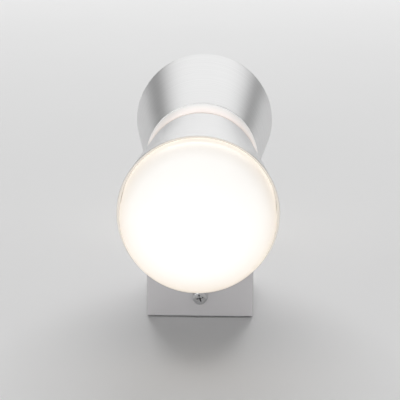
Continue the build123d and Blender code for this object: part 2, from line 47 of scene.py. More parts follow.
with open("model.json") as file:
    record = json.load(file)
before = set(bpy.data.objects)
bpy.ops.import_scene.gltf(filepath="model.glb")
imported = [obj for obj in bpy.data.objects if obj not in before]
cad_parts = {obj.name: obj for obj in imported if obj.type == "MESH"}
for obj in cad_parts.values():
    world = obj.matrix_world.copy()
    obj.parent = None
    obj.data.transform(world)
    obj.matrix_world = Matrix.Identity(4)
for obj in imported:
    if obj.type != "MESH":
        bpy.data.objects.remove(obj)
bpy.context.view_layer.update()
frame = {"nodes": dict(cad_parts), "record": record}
NODES = frame["nodes"]

RING_LOW, RING_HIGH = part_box("light_ring")
CONE_LOW, CONE_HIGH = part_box("upper_cone")
DOME_LOW, DOME_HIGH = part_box("upper_diffuser")
COVER_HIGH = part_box("box_cover")[1]
SCREW_LOW, SCREW_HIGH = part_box("cover_screws")

HEAD_X = (RING_LOW.x + RING_HIGH.x) / 2
HEAD_Y = (RING_LOW.y + RING_HIGH.y) / 2
WAIST_RADIUS = (RING_HIGH.x - RING_LOW.x) / 2
RIM_RADIUS = (CONE_HIGH.x - CONE_LOW.x) / 2
DOME_RADIUS = (DOME_HIGH.x - DOME_LOW.x) / 2
CONE_START = CONE_LOW.z
RIM_HEIGHT = CONE_HIGH.z
DOME_TOP = DOME_HIGH.z
SKIRT_END = DOME_LOW.z

SMOOTH_ANGLE = math.radians(32)        # faces that meet at less are shaded as one
BEVEL_ANGLE = math.radians(35)         # edges sharper than this are rounded

BANDS_BELOW_RIM = 0.0007               # upper end of the cone's bands, below the rim
BAND_SHARES = (0.02, 0.3, 0.65, 0.98)  # heights of the cone's bands
FLOOR_BORE_SHARE = 0.7                 # hole in the cone's floor, of the hub's radius

RING_ROUND_SHARE = 1.6                 # rounding of the ring's edges, of the cones'
NECK_HOLE_RADIUS = 0.0086              # in the ring, for the neck
NECK_HOLE_STEPS = 64

SCREW_STEPS = 64
SCREW_SHANK_SHARE = 3.8                # shank's length, of its radius
SCREW_EDGE_SHARE = 0.45                # rounding of the head, of its height
RECESS_REACH = 0.74                    # half length of an arm of the cross, of the head's radius
RECESS_SLOT = 0.11                     # half width of an arm, of the head's radius
RECESS_DEPTH = 0.8                     # of the head's height
RECESS_TAPER = (0.3, 0.6, 1)           # size of an arm at the bottom of the recess
LOWER_SCREW_TURN = math.radians(16)

RING_SHADE = 0.8                       # the ring's opal against the domes'
RING_TOP_LIGHT = (0.42, 0.41, 0.40)    # light at the ring's upper edge
PAINTED_SHADE_STRENGTH = 0.8                      # strength of the painted shade at the dome's foot, a dimmer and warmer glow
PAINTED_SHADE_REACH = 0.022                    # height over which the painted shade at the foot turns to white glow
PAINTED_SHADE_WALL_TILT = 0.2                   # how much farther the painted shade reaches on the wall side
BAND_FADE_BELOW = 0.0005               # the band's light ends between these, about the dome's foot
BAND_FADE_ABOVE = 0.0015

STAGE_SIZE = 8
STAGE_ROUGHNESS = 0.9
WALL_PROUD = 0.0002                    # so that the wall plate's back shows from behind
FLOOR_HEIGHT = -2.4
SENSOR_WIDTH = 36.0                    # mm
PICTURE_WIDTH = 400.0                  # pixels


# ---------------------------------------------------------------- settings


class WallLightSizes(bpy.types.PropertyGroup):
    """Sizes of the shells that the frame doesn't hold."""

    cone_wall: FloatProperty(
        name="Cone wall", description="Thickness of each cone's metal",
        default=0.0016, unit="LENGTH",
    )
    edge_round: FloatProperty(
        name="Edge rounding", description="Rounding of the cones' and the ring's edges",
        default=0.00025, unit="LENGTH",
    )
    lip_round: FloatProperty(
        name="Lip rounding", description="Rounding of the outer edge of each cone's lip",
        default=0.00018, unit="LENGTH",
    )
    lip_slope: FloatProperty(
        name="Lip slope", description="How far each lip falls towards the dome",
        default=0.0013, unit="LENGTH",
    )
    diffuser_wall: FloatProperty(
        name="Diffuser wall", description="Thickness of each opal dome",
        default=0.0024, unit="LENGTH",
    )
    diffuser_band: FloatProperty(
        name="Diffuser band", description="Straight part of a diffuser that stands proud of the rim",
        default=0.0032, unit="LENGTH",
    )
    dome_shoulder: FloatProperty(
        name="Dome shoulder", description="Radius of the arc beside the dome's foot",
        default=0.020, unit="LENGTH",
    )
    ring_wall: FloatProperty(
        name="Ring wall", description="Thickness of the lit ring",
        default=0.0024, unit="LENGTH",
    )
    turn_steps: IntProperty(
        name="Steps round a turned part", description="Faces round each turned shell",
        default=160, min=24, max=256,
    )


class WallLightFinishes(bpy.types.PropertyGroup):
    """Colours and light levels."""

    aluminium: FloatVectorProperty(
        name="Brushed aluminium", description="Colour of the two cones",
        default=(0.80, 0.80, 0.80), subtype="COLOR", min=0, max=1,
    )
    box_grey: FloatVectorProperty(
        name="Box grey", description="Colour of the wall box and the neck",
        default=(0.79, 0.775, 0.785), subtype="COLOR", min=0, max=1,
    )
    opal: FloatVectorProperty(
        name="Opal", description="Colour of the unlit diffusers",
        default=(0.90, 0.90, 0.89), subtype="COLOR", min=0, max=1,
    )
    glow: FloatVectorProperty(
        name="Glow", description="Colour of the light through the middle of the opal",
        default=(1.0, 0.96, 0.91), subtype="COLOR", min=0, max=1,
    )
    # painted shade: this dimmer, warmer glow near the dome's foot and on its wall side stands in for the
    # darker edge of the dome
    edge_glow_with_painted_shade: FloatVectorProperty(
        name="Edge glow", description="Colour of the light through the opal beside the metal",
        default=(1.0, 0.78, 0.54), subtype="COLOR", min=0, max=1,
    )
    band_glow: FloatVectorProperty(
        name="Band glow", description="Colour of the light through the straight band beside the lip",
        default=(1.0, 0.89, 0.75), subtype="COLOR", min=0, max=1,
    )
    ring_glow_colour: FloatVectorProperty(
        name="Ring glow colour", description="Colour of the light through the waist ring",
        default=(1.0, 0.78, 0.67), subtype="COLOR", min=0, max=1,
    )
    dome_glow: FloatProperty(
        name="Dome glow", description="Strength of the light through the domes", default=0.54, min=0,
    )
    ring_glow: FloatProperty(
        name="Ring glow", description="Strength of the light through the waist ring", default=0.40, min=0,
    )
    wall: FloatVectorProperty(
        name="Wall", description="Colour of the wall behind the light",
        default=(0.80, 0.80, 0.80), subtype="COLOR", min=0, max=1,
    )
    floor: FloatVectorProperty(
        name="Floor", description="Colour of the floor far below the light",
        default=(0.55, 0.55, 0.55), subtype="COLOR", min=0, max=1,
    )


class WallLightStudio(bpy.types.PropertyGroup):
    """Camera and lamps."""

    camera_place: FloatVectorProperty(
        name="Camera", description="Place of the camera", default=(0.0144, -0.3272, -0.8568), unit="LENGTH",
    )
    camera_turn: FloatVectorProperty(
        name="Camera turn", description="Pitch, roll and turn of the camera from looking straight up",
        default=(math.radians(17.478), math.radians(0.968), math.radians(0.649)), subtype="EULER",
    )
    focal_pixels: FloatProperty(
        name="Focal length", description="Focal length in pixels of a 400 pixel wide picture", default=1650.0,
    )
    key_power: FloatProperty(
        name="Key power", description="Power of the far lamp that casts the shadow",
        default=640.0, subtype="POWER",
    )
    panel_power: FloatProperty(
        name="Panel power", description="Power of the wide panel that the metal reflects",
        default=7.6, subtype="POWER",
    )
    top_power: FloatProperty(
        name="Top power", description="Power of the narrow panel straight above",
        default=0.95, subtype="POWER",
    )
    front_power: FloatProperty(
        name="Front power", description="Power of the panel in front that only gloss shows",
        default=14.0, subtype="POWER",
    )
    under_power: FloatProperty(
        name="Under power", description="Power of the strip lamp far below the wall box",
        default=3.7, subtype="POWER",
    )
    room_level: FloatProperty(
        name="Room level", description="Strength of the even light from all sides", default=0.24, min=0,
    )


def sizes():
    return bpy.context.scene.wall_light_sizes


def finishes():
    return bpy.context.scene.wall_light_finishes


def studio():
    return bpy.context.scene.wall_light_studio


# ---------------------------------------------------------------- modelling helpers


def select_nothing():
    """Leave edit mode and clear the selection."""
    if bpy.context.object and bpy.context.object.mode != "OBJECT":
        bpy.ops.object.mode_set(mode="OBJECT")
    bpy.ops.object.select_all(action="DESELECT")


def select_only(piece):
    select_nothing()
    piece.select_set(True)
    bpy.context.view_layer.objects.active = piece


def settle(piece, name):
    """Put the piece's place into its mesh, name it and give it smooth shading."""
    select_only(piece)
    bpy.ops.object.transform_apply(location=True, rotation=True, scale=True)
    bpy.ops.object.shade_smooth_by_angle(angle=SMOOTH_ANGLE)
    piece.name = name
    piece.data.name = name
    return piece


def cut(piece, cutter, recess=None):
    """Cut one piece out of another. The recess slot names the finish of the cut faces: a dark one that paints
    shade into the screws' cross recesses.
    """
    if recess:
        cutter.data.materials.append(material(recess))
        piece.data.materials.clear()
        piece.data.materials.append(material("chrome_screw"))
    add_modifier(
        piece, "BOOLEAN", operation="DIFFERENCE", object=cutter, solver="EXACT", material_mode="TRANSFER",
    )
    bpy.data.objects.remove(cutter)


def add_modifier(piece, kind, **values):
    """Add a modifier with these values and apply it."""
    select_only(piece)
    modifier = piece.modifiers.new(kind.title(), kind)
    for key, value in values.items():
        setattr(modifier, key, value)
    bpy.ops.object.modifier_apply(modifier=modifier.name)


def select_faces(piece, wanted):
    """Go to edit mode with only the faces selected that the test wants."""
    select_only(piece)
    bpy.ops.object.mode_set(mode="EDIT")
    bpy.ops.mesh.select_mode(type="FACE")
    bpy.ops.mesh.select_all(action="DESELECT")
    bpy.ops.object.mode_set(mode="OBJECT")
    for face in piece.data.polygons:
        face.select = wanted(face)
    bpy.ops.object.mode_set(mode="EDIT")


def turn_on_axis(outline, closed, steps):
    """Turn an outline of (radius, height) pairs about the head's axis, one ring at a time."""
    select_nothing()
    radius, height = outline[0]
    bpy.ops.mesh.primitive_circle_add(vertices=steps, radius=radius, location=(HEAD_X, HEAD_Y, height))
    piece = bpy.context.object
    bpy.ops.object.mode_set(mode="EDIT")
    bpy.ops.mesh.select_all(action="SELECT")
    following = outline[1:] + ([outline[0]] if closed else [])
    for next_radius, next_height in following:
        lift = {"value": (0, 0, next_height - height)}
        bpy.ops.mesh.extrude_edges_move(TRANSFORM_OT_translate=lift)
        if next_radius == 0:
            bpy.ops.mesh.merge(type="CENTER")
            break
        ratio = next_radius / radius
        middle = (HEAD_X, HEAD_Y, next_height)
        bpy.ops.transform.resize(value=(ratio, ratio, 1), center_override=middle)
        radius, height = next_radius, next_height
    bpy.ops.mesh.select_all(action="SELECT")
    bpy.ops.mesh.remove_doubles(threshold=1e-6)
    bpy.ops.mesh.normals_make_consistent(inside=False)
    bpy.ops.object.mode_set(mode="OBJECT")
    return piece


def arc_points(centre, radius, first, last, count):
    """Points of an arc in the outline's plane, from one angle to another, in radians."""
    points = []
    for index in range(count + 1):
        angle = first + (last - first) * index / count
        points.append((centre[0] + radius * math.cos(angle), centre[1] + radius * math.sin(angle)))
    return points


def half_turn(piece, name):
    """A copy of an upper piece, turned to the lower end about the neck's axis."""
    select_only(piece)
    bpy.ops.object.duplicate()
    copy = bpy.context.object
    bpy.ops.transform.rotate(value=math.pi, orient_axis="Y", center_override=(HEAD_X, HEAD_Y, 0))
    return settle(copy, name)


def dress(piece, slot, body, *replaced):
    """Give a new piece its material, its body and the nodes that it stands for."""
    if not piece.data.materials:
        piece.data.materials.append(material(slot))
    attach(piece, body)
    if replaced:
        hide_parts(*replaced)
    return piece


# ---------------------------------------------------------------- shader groups


def new_group(name, inputs, outputs):
    """An empty node group with these sockets. Inputs are (name, kind, default)."""
    group = bpy.data.node_groups.new(name, "ShaderNodeTree")
    for label, kind, default in inputs:
        socket = group.interface.new_socket(name=label, in_out="INPUT", socket_type=kind)
        if default is not None:
            socket.default_value = default
    for label, kind in outputs:
        group.interface.new_socket(name=label, in_out="OUTPUT", socket_type=kind)
    return group, group.nodes.new("NodeGroupInput"), group.nodes.new("NodeGroupOutput")


def maths(tree, operation, first, second=None, clamp=False):
    """A Math node. first and second are sockets or numbers."""
    node = tree.nodes.new("ShaderNodeMath")
    node.operation = operation
    node.use_clamp = clamp
    for socket, value in zip(node.inputs, (first, second)):
        if value is None:
            continue
        if isinstance(value, (int, float)):
            socket.default_value = value
        else:
            tree.links.new(value, socket)
    return node.outputs[0]


def noise(tree, vector, scale, detail, roughness=0.5):
    node = tree.nodes.new("ShaderNodeTexNoise")
    node.inputs["Scale"].default_value = scale
    node.inputs["Detail"].default_value = detail
    node.inputs["Roughness"].default_value = roughness
    tree.links.new(vector, node.inputs["Vector"])
    return node.outputs["Fac"]


def brushed_grain_group():
    """Fine lines left by a brush: dense across the lines, drawn out along them."""
    if "brushed_grain" in bpy.data.node_groups:
        return bpy.data.node_groups["brushed_grain"]
    group, entry, leave = new_group(
        "brushed_grain",
        [("Place", "NodeSocketVector", None), ("Along", "NodeSocketVector", (30, 30, 2400))],
        [("Grain", "NodeSocketFloat"), ("Streak", "NodeSocketFloat")],
    )
    stretch = group.nodes.new("ShaderNodeVectorMath")
    stretch.operation = "MULTIPLY"
    group.links.new(entry.outputs["Place"], stretch.inputs[0])
    group.links.new(entry.outputs["Along"], stretch.inputs[1])
    fine = noise(group, stretch.outputs[0], 1.0, 3.0)
    broad = noise(group, stretch.outputs[0], 0.35, 3.0)
    group.links.new(fine, leave.inputs["Grain"])
    group.links.new(broad, leave.inputs["Streak"])
    return group


def mottle_group():
    """Soft cloudy change and a fine tooth, for painted, moulded and plated surfaces."""
    if "mottle" in bpy.data.node_groups:
        return bpy.data.node_groups["mottle"]
    group, entry, leave = new_group(
        "mottle",
        [
            ("Place", "NodeSocketVector", None),
            ("Cloud Size", "NodeSocketFloat", 40.0),
            ("Tooth Size", "NodeSocketFloat", 1800.0),
        ],
        [("Cloud", "NodeSocketFloat"), ("Tooth", "NodeSocketFloat")],
    )
    for label, output, detail in (("Cloud Size", "Cloud", 4.0), ("Tooth Size", "Tooth", 2.0)):
        node = group.nodes.new("ShaderNodeTexNoise")
        node.inputs["Detail"].default_value = detail
        group.links.new(entry.outputs["Place"], node.inputs["Vector"])
        group.links.new(entry.outputs[label], node.inputs["Scale"])
        group.links.new(node.outputs["Fac"], leave.inputs[output])
    return group


# ---------------------------------------------------------------- materials


def start_material(name):
    """A material with only its output, its shader and the object's own coordinates."""
    if name in bpy.data.materials:
        bpy.data.materials[name].name = name + "_plain"
    made = bpy.data.materials.new(name)
    made.use_nodes = True
    tree = made.node_tree
    shader = tree.nodes["Principled BSDF"]
    place = tree.nodes.new("ShaderNodeTexCoord").outputs["Object"]
    return made, tree, shader, place


def use_group(tree, group, place, **values):
    node = tree.nodes.new("ShaderNodeGroup")
    node.node_tree = group
    tree.links.new(place, node.inputs["Place"])
    for label, value in values.items():
        node.inputs[label.replace("_", " ")].default_value = value
    return node


def spread(tree, value, low, high):
    """Map a noise value from its usual 0.3 to 0.7 to low to high."""
    node = tree.nodes.new("ShaderNodeMapRange")
    node.inputs["From Min"].default_value = 0.3
    node.inputs["From Max"].default_value = 0.7
    node.inputs["To Min"].default_value = low
    node.inputs["To Max"].default_value = high
    tree.links.new(value, node.inputs["Value"])
    return node.outputs["Result"]


def mix(tree, factor, first, second):
    """The first colour where the factor is 0, the second where it is 1. Each is a colour or a socket."""
    node = tree.nodes.new("ShaderNodeMix")
    node.data_type = "RGBA"
    tree.links.new(factor, node.inputs["Factor"])
    for socket, colour in ((node.inputs["A"], first), (node.inputs["B"], second)):
        if isinstance(colour, tuple):
            socket.default_value = (*colour, 1)
        else:
            tree.links.new(colour, socket)
    return node.outputs["Result"]


def tones(tree, value, dark, light):
    """Two tones of a colour, mixed by a noise value."""
    return mix(tree, spread(tree, value, 0, 1), dark, light)


def bump(tree, shader, height, strength, distance):
    node = tree.nodes.new("ShaderNodeBump")
    node.inputs["Strength"].default_value = strength
    node.inputs["Distance"].default_value = distance
    tree.links.new(height, node.inputs["Height"])
    tree.links.new(node.outputs["Normal"], shader.inputs["Normal"])


def scaled(colour, factor):
    return tuple(min(1.0, part * factor) for part in colour)


def brushed_metal(name, colour, roughness, along, grain_depth):
    """Metal with fine brush lines that run round the part."""
    made, tree, shader, place = start_material(name)
    grain = use_group(tree, brushed_grain_group(), place, Along=along)
    shader.inputs["Metallic"].default_value = 1.0
    shader.inputs["Anisotropic"].default_value = 0.3
    base = tones(tree, grain.outputs["Streak"], scaled(colour, 0.94), scaled(colour, 1.03))
    tree.links.new(base, shader.inputs["Base Color"])
    rough = spread(tree, grain.outputs["Grain"], roughness - 0.05, roughness + 0.06)
    tree.links.new(rough, shader.inputs["Roughness"])
    tangent = tree.nodes.new("ShaderNodeTangent")
    tangent.direction_type = "RADIAL"
    tangent.axis = "Z"
    tree.links.new(tangent.outputs["Tangent"], shader.inputs["Tangent"])
    bump(tree, shader, grain.outputs["Grain"], 0.25, grain_depth)
    return made


def mottled(name, colour, metallic, roughness, change=0.05, tooth=0.00004, cloud=40.0, fine=1800.0, coat=0.0):
    """A plain finish with a little change in tone and gloss, and a fine tooth."""
    made, tree, shader, place = start_material(name)
    marks = use_group(tree, mottle_group(), place, Cloud_Size=cloud, Tooth_Size=fine)
    base = tones(tree, marks.outputs["Cloud"], scaled(colour, 1 - change), scaled(colour, 1 + change))
    tree.links.new(base, shader.inputs["Base Color"])
    shader.inputs["Metallic"].default_value = metallic
    shader.inputs["Coat Weight"].default_value = coat
    rough = spread(tree, marks.outputs["Tooth"], max(0.02, roughness - 0.05), roughness + 0.05)
    tree.links.new(rough, shader.inputs["Roughness"])
    bump(tree, shader, marks.outputs["Tooth"], 0.3, tooth)
    return made


def height_ramp(tree, height, low, high):
    """0 at the low height and 1 at the high one, with a soft start and end."""
    node = tree.nodes.new("ShaderNodeMapRange")
    node.interpolation_type = "SMOOTHSTEP"
    node.inputs["From Min"].default_value = low
    node.inputs["From Max"].default_value = high
    tree.links.new(height, node.inputs["Value"])
    return node.outputs["Result"]


def opal_surface(name, shade):
    """Opal plastic and the height of each point of it, before any light shines through."""
    colour = scaled(finishes().opal, shade)
    made, tree, shader, place = start_material(name)
    marks = use_group(tree, mottle_group(), place, Cloud_Size=60.0, Tooth_Size=2500.0)
    base = tones(tree, marks.outputs["Cloud"], scaled(colour, 0.985), scaled(colour, 1.01))
    tree.links.new(base, shader.inputs["Base Color"])
    rough = spread(tree, marks.outputs["Tooth"], 0.30, 0.36)
    tree.links.new(rough, shader.inputs["Roughness"])
    bump(tree, shader, marks.outputs["Tooth"], 0.15, 0.00002)
    split = tree.nodes.new("ShaderNodeSeparateXYZ")
    tree.links.new(place, split.inputs[0])
    return made, tree, shader, split


def lit_ring():
    """Opal ring lit from inside. The light fades towards its upper edge."""
    made, tree, shader, split = opal_surface("opal_ring", RING_SHADE)
    lit = height_ramp(tree, split.outputs["Z"], RING_HIGH.z, RING_LOW.z)
    light = mix(tree, lit, RING_TOP_LIGHT, tuple(finishes().ring_glow_colour))
    tree.links.new(light, shader.inputs["Emission Color"])
    shader.inputs["Emission Strength"].default_value = finishes().ring_glow
    return made


def lit_dome():
    """Opal dome lit from inside: white in the middle, with painted shade near its foot and on the wall side,
    where the glow is dimmer and warmer.
    """
    made, tree, shader, split = opal_surface("opal_diffuser", 1.0)
    foot = RIM_HEIGHT + sizes().diffuser_band
    height = maths(tree, "ABSOLUTE", split.outputs["Z"])
    # Painted shade: the glow turns dimmer and warmer towards the foot, reaching farther on the wall side.
    outwards = maths(tree, "SUBTRACT", HEAD_Y, split.outputs["Y"])
    turned = maths(tree, "ADD", height, maths(tree, "MULTIPLY", outwards, PAINTED_SHADE_WALL_TILT))
    rising = height_ramp(tree, turned, foot, foot + PAINTED_SHADE_REACH)
    painted_shade_cream = scaled(finishes().edge_glow_with_painted_shade, PAINTED_SHADE_STRENGTH)
    dome = mix(tree, rising, painted_shade_cream, tuple(finishes().glow))
    proud = height_ramp(tree, height, foot - BAND_FADE_BELOW, foot + BAND_FADE_ABOVE)
    light = mix(tree, proud, tuple(finishes().band_glow), dome)
    tree.links.new(light, shader.inputs["Emission Color"])
    shader.inputs["Emission Strength"].default_value = finishes().dome_glow
    return made


def led_phosphor():
    """A white LED package with its yellow phosphor in the middle."""
    return mottled("led_phosphor", (0.93, 0.80, 0.34), 0.0, 0.30, change=0.06, fine=4000.0)


FINISHED = {}


def material(slot):
    """The finish of a slot, made when first asked for. The frame's own plain one isn't used."""
    if slot not in FINISHED:
        FINISHED[slot] = MAKERS[slot]()
    return FINISHED[slot]


MAKERS = {
    "brushed_aluminium": lambda: brushed_metal(
        "brushed_aluminium", tuple(finishes().aluminium), 0.36, (26, 26, 2600), 0.00003),
    "grey_metal": lambda: mottled(
        "grey_metal", tuple(finishes().box_grey), 0.1, 0.42, change=0.02, fine=3200.0),
    "opal_diffuser": lit_dome,
    "opal_ring": lit_ring,
    "chrome_screw": lambda: mottled(
        "chrome_screw", (0.74, 0.74, 0.75), 1.0, 0.30, change=0.02, cloud=300.0, fine=5000.0),
    # painted shade: dark finish on the faces of each screw's cross recess, where shade falls
    "painted_recess_shade": lambda: mottled(
        "painted_recess_shade", (0.10, 0.10, 0.105), 1.0, 0.55, change=0.05, cloud=300.0, fine=5000.0),
    "cast_aluminium": lambda: mottled(
        "cast_aluminium", (0.62, 0.62, 0.63), 1.0, 0.42, change=0.05, fine=2200.0),
    "zinc_steel": lambda: mottled(
        "zinc_steel", (0.60, 0.62, 0.64), 1.0, 0.34, change=0.08, cloud=120.0, fine=2600.0),
    "brass": lambda: mottled("brass", (0.72, 0.55, 0.26), 1.0, 0.28, change=0.06, cloud=200.0),
    "black_rubber": lambda: mottled("black_rubber", (0.035, 0.035, 0.036), 0.0, 0.62, change=0.12),
    "white_silicone": lambda: mottled("white_silicone", (0.80, 0.80, 0.78), 0.0, 0.50, change=0.03),
    "white_plastic": lambda: mottled("white_plastic", (0.82, 0.82, 0.80), 0.0, 0.40, change=0.02),
    "nylon": lambda: mottled("nylon", (0.78, 0.75, 0.68), 0.0, 0.38, change=0.03),
    "white_board": lambda: mottled("white_board", (0.88, 0.88, 0.86), 0.0, 0.35, change=0.02, cloud=90.0),
    "green_board": lambda: mottled("green_board", (0.05, 0.26, 0.11), 0.0, 0.32, change=0.10, cloud=260.0),
    "dark_parts": lambda: mottled("dark_parts", (0.06, 0.06, 0.065), 0.0, 0.45, change=0.10),
    "led_phosphor": led_phosphor,
    "white_cable": lambda: mottled("white_cable", (0.80, 0.80, 0.78), 0.0, 0.42, change=0.02),
    "brown_lead": lambda: mottled("brown_lead", (0.30, 0.14, 0.06), 0.0, 0.40, change=0.06),
}


# ---------------------------------------------------------------- pieces


class WALLLIGHT_OT_cones(bpy.types.Operator):
    """Turn the two brushed cones, from the waist to the rim and back inside"""

    bl_idname = "wall_light.cones"
    bl_label = "Cones"

    def execute(self, context):
        wall = sizes().cone_wall
        rim_bore = RIM_RADIUS - wall
        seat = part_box("upper_gasket")[0].z
        floor_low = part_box("hub_lid")[1].z
        floor_top = floor_low + wall
        floor_bore = (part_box("waist_hub")[1].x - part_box("waist_hub")[0].x) / 2 * FLOOR_BORE_SHARE
        lip = sizes().lip_round

        def outside(height):
            share = (height - CONE_START) / (RIM_HEIGHT - CONE_START)
            return WAIST_RADIUS + (RIM_RADIUS - WAIST_RADIUS) * share

        def inside(height):
            return outside(height) - wall

        bands_end = RIM_HEIGHT - BANDS_BELOW_RIM
        bands = [CONE_START + (bands_end - CONE_START) * share for share in BAND_SHARES]
        outline = [(WAIST_RADIUS, CONE_START)] + [(outside(height), height) for height in bands]
        outline += arc_points((RIM_RADIUS - lip, RIM_HEIGHT - lip), lip, 0, math.pi / 2, count=5)
        outline += [
            (rim_bore + lip, RIM_HEIGHT - sizes().lip_slope),
            (rim_bore, RIM_HEIGHT - sizes().lip_slope - lip),
            (rim_bore, seat),
            (inside(seat), seat),
            (inside(floor_top), floor_top),
            (floor_bore, floor_top),
            (floor_bore, floor_low),
            (inside(floor_low), floor_low),
            (WAIST_RADIUS - wall, CONE_START),
        ]
        upper = turn_on_axis(outline, True, sizes().turn_steps)
        add_modifier(
            upper, "BEVEL", width=sizes().edge_round, segments=3,
            limit_method="ANGLE", angle_limit=BEVEL_ANGLE,
        )
        upper = settle(upper, "upper_cone_shell")
        lower = half_turn(upper, "lower_cone_shell")
        dress(upper, "brushed_aluminium", "head", "upper_cone")
        dress(lower, "brushed_aluminium", "head", "lower_cone")
        return {"FINISHED"}


class WALLLIGHT_OT_diffusers(bpy.types.Operator):
    """Turn the two opal domes, with their bands and their skirts inside the rims"""

    bl_idname = "wall_light.diffusers"
    bl_label = "Diffusers"

    def dome_side(self, inset):
        """The dome's outline from its foot to its top, moved inwards by the inset."""
        foot = RIM_HEIGHT + sizes().diffuser_band
        rise = DOME_TOP - foot
        shoulder = sizes().dome_shoulder
        out = DOME_RADIUS - shoulder
        crown = (out**2 + rise**2 - shoulder**2) / (2 * (rise - shoulder))
        crown_centre = foot + rise - crown
        turn = math.atan2(foot - crown_centre, out)
        side = arc_points((out, foot), shoulder - inset, 0, turn, count=14)
        top = arc_points((0, crown_centre), crown - inset, turn, math.pi / 2, count=12)
        return side + top[1:-1]

    def execute(self, context):
        wall = sizes().diffuser_wall
        outside = self.dome_side(0)
        inside = self.dome_side(wall)
        inner_top = (0, DOME_TOP - wall)
        shell = [(DOME_RADIUS, SKIRT_END)] + outside + [(0, DOME_TOP)]
        lining = [(DOME_RADIUS - wall, SKIRT_END)] + inside + [inner_top]
        outer = turn_on_axis(shell, False, sizes().turn_steps)
        inner = turn_on_axis(lining, False, sizes().turn_steps)
        select_only(outer)
        inner.select_set(True)
        bpy.ops.object.join()
        bpy.ops.object.mode_set(mode="EDIT")
        bpy.ops.mesh.select_all(action="DESELECT")
        bpy.ops.mesh.select_non_manifold()
        bpy.ops.mesh.bridge_edge_loops()
        bpy.ops.mesh.select_all(action="SELECT")
        bpy.ops.mesh.normals_make_consistent(inside=False)
        bpy.ops.object.mode_set(mode="OBJECT")
        upper = settle(outer, "upper_dome")
        lower = half_turn(upper, "lower_dome")
        dress(upper, "opal_diffuser", "head", "upper_diffuser")
        dress(lower, "opal_diffuser", "head", "lower_diffuser")
        return {"FINISHED"}


class WALLLIGHT_OT_ring(bpy.types.Operator):
    """Turn the lit ring and cut the hole behind it for the neck"""

    bl_idname = "wall_light.ring"
    bl_label = "Lit ring"

    def execute(self, context):
        wall = sizes().ring_wall
        outline = [
            (WAIST_RADIUS, RING_LOW.z),
            (WAIST_RADIUS, RING_HIGH.z),
            (WAIST_RADIUS - wall, RING_HIGH.z),
            (WAIST_RADIUS - wall, RING_LOW.z),
        ]
        ring = turn_on_axis(outline, True, sizes().turn_steps)
        add_modifier(
            ring, "BEVEL", width=RING_ROUND_SHARE * sizes().edge_round, segments=3,
            limit_method="ANGLE", angle_limit=BEVEL_ANGLE,
        )
        select_nothing()
        bpy.ops.mesh.primitive_cylinder_add(
            vertices=NECK_HOLE_STEPS, radius=NECK_HOLE_RADIUS, depth=WAIST_RADIUS,
            location=(HEAD_X, HEAD_Y + WAIST_RADIUS, 0), rotation=(math.pi / 2, 0, 0),
        )
        cut(ring, bpy.context.object)
        ring.data.materials.clear()
        ring = settle(ring, "waist_ring")
        dress(ring, "opal_ring", "head", "light_ring")
        return {"FINISHED"}


class WALLLIGHT_OT_cover_screws(bpy.types.Operator):
    """Turn the two pan-head screws and cut their cross recesses"""

    bl_idname = "wall_light.cover_screws"
    bl_label = "Cover screws"

    def cross_cutter(self, middle, top, reach, slot, depth):
        """Two crossed wedges that narrow towards the bottom of the recess."""
        arms = []
        for turn in (0, math.pi / 2):
            select_nothing()
            bpy.ops.mesh.primitive_cube_add(size=1, location=(*middle, top))
            arm = bpy.context.object
            arm.scale = (2 * reach, 2 * slot, 2 * depth)
            arm.rotation_euler = (0, 0, turn)
            select_only(arm)
            bpy.ops.object.transform_apply(location=False, rotation=False, scale=True)
            select_faces(arm, lambda face: face.normal.z < -0.5)
            bpy.ops.transform.resize(value=RECESS_TAPER, orient_type="LOCAL", center_override=(*middle, top))
            bpy.ops.object.mode_set(mode="OBJECT")
            arms.append(arm)
        return arms

    def execute(self, context):
        middle = ((SCREW_LOW.x + SCREW_HIGH.x) / 2, (SCREW_LOW.y + SCREW_HIGH.y) / 2)
        head_radius = (SCREW_HIGH.x - SCREW_LOW.x) / 2
        seat = COVER_HIGH.z
        top = SCREW_HIGH.z
        shank_radius = head_radius / 2
        shank_end = seat - SCREW_SHANK_SHARE * shank_radius
        crown = top - seat
        edge = SCREW_EDGE_SHARE * crown
        dome = arc_points((head_radius - edge, top - edge), edge, 0, math.pi / 2, count=6)
        outline = [(shank_radius, shank_end), (shank_radius, seat), (head_radius, seat)] + dome + [(0, top)]
        screw = turn_on_axis(outline, False, SCREW_STEPS)
        select_only(screw)
        bpy.ops.object.mode_set(mode="EDIT")
        bpy.ops.mesh.select_all(action="DESELECT")
        bpy.ops.mesh.select_non_manifold()
        bpy.ops.mesh.fill()
        bpy.ops.mesh.select_all(action="SELECT")
        bpy.ops.mesh.normals_make_consistent(inside=False)
        bpy.ops.object.mode_set(mode="OBJECT")
        screw.location.x += middle[0] - HEAD_X
        screw.location.y += middle[1] - HEAD_Y
        select_only(screw)
        bpy.ops.object.transform_apply(location=True, rotation=True, scale=True)
        arms = self.cross_cutter(
            middle, top, RECESS_REACH * head_radius, RECESS_SLOT * head_radius, RECESS_DEPTH * crown,
        )
        for arm in arms:
            # the recess faces get the dark painted shade finish
            cut(screw, arm, "painted_recess_shade")
        upper = settle(screw, "upper_cover_screw")
        select_only(upper)
        bpy.ops.object.duplicate()
        lower = bpy.context.object
        centre = (middle[0], middle[1], 0)
        bpy.ops.transform.rotate(value=math.pi, orient_axis="Y", center_override=centre)
        bpy.ops.transform.rotate(value=LOWER_SCREW_TURN, orient_axis="Z", center_override=centre)
        lower = settle(lower, "lower_cover_screw")
        dress(upper, "chrome_screw", "wall_base", "cover_screws")
        dress(lower, "chrome_screw", "wall_base")
        return {"FINISHED"}


class WALLLIGHT_OT_finishes(bpy.types.Operator):
    """Give every carried-over node the finish of its slot"""

    bl_idname = "wall_light.finishes"
    bl_label = "Finishes"

    def execute(self, context):
        for entry in frame["record"]["subparts"]:
            node = NODES[entry["node"]]
            node.data.materials.clear()
            node.data.materials.append(material(entry["material_slot"]))
        return {"FINISHED"}


# ---------------------------------------------------------------- stage, lamps, camera


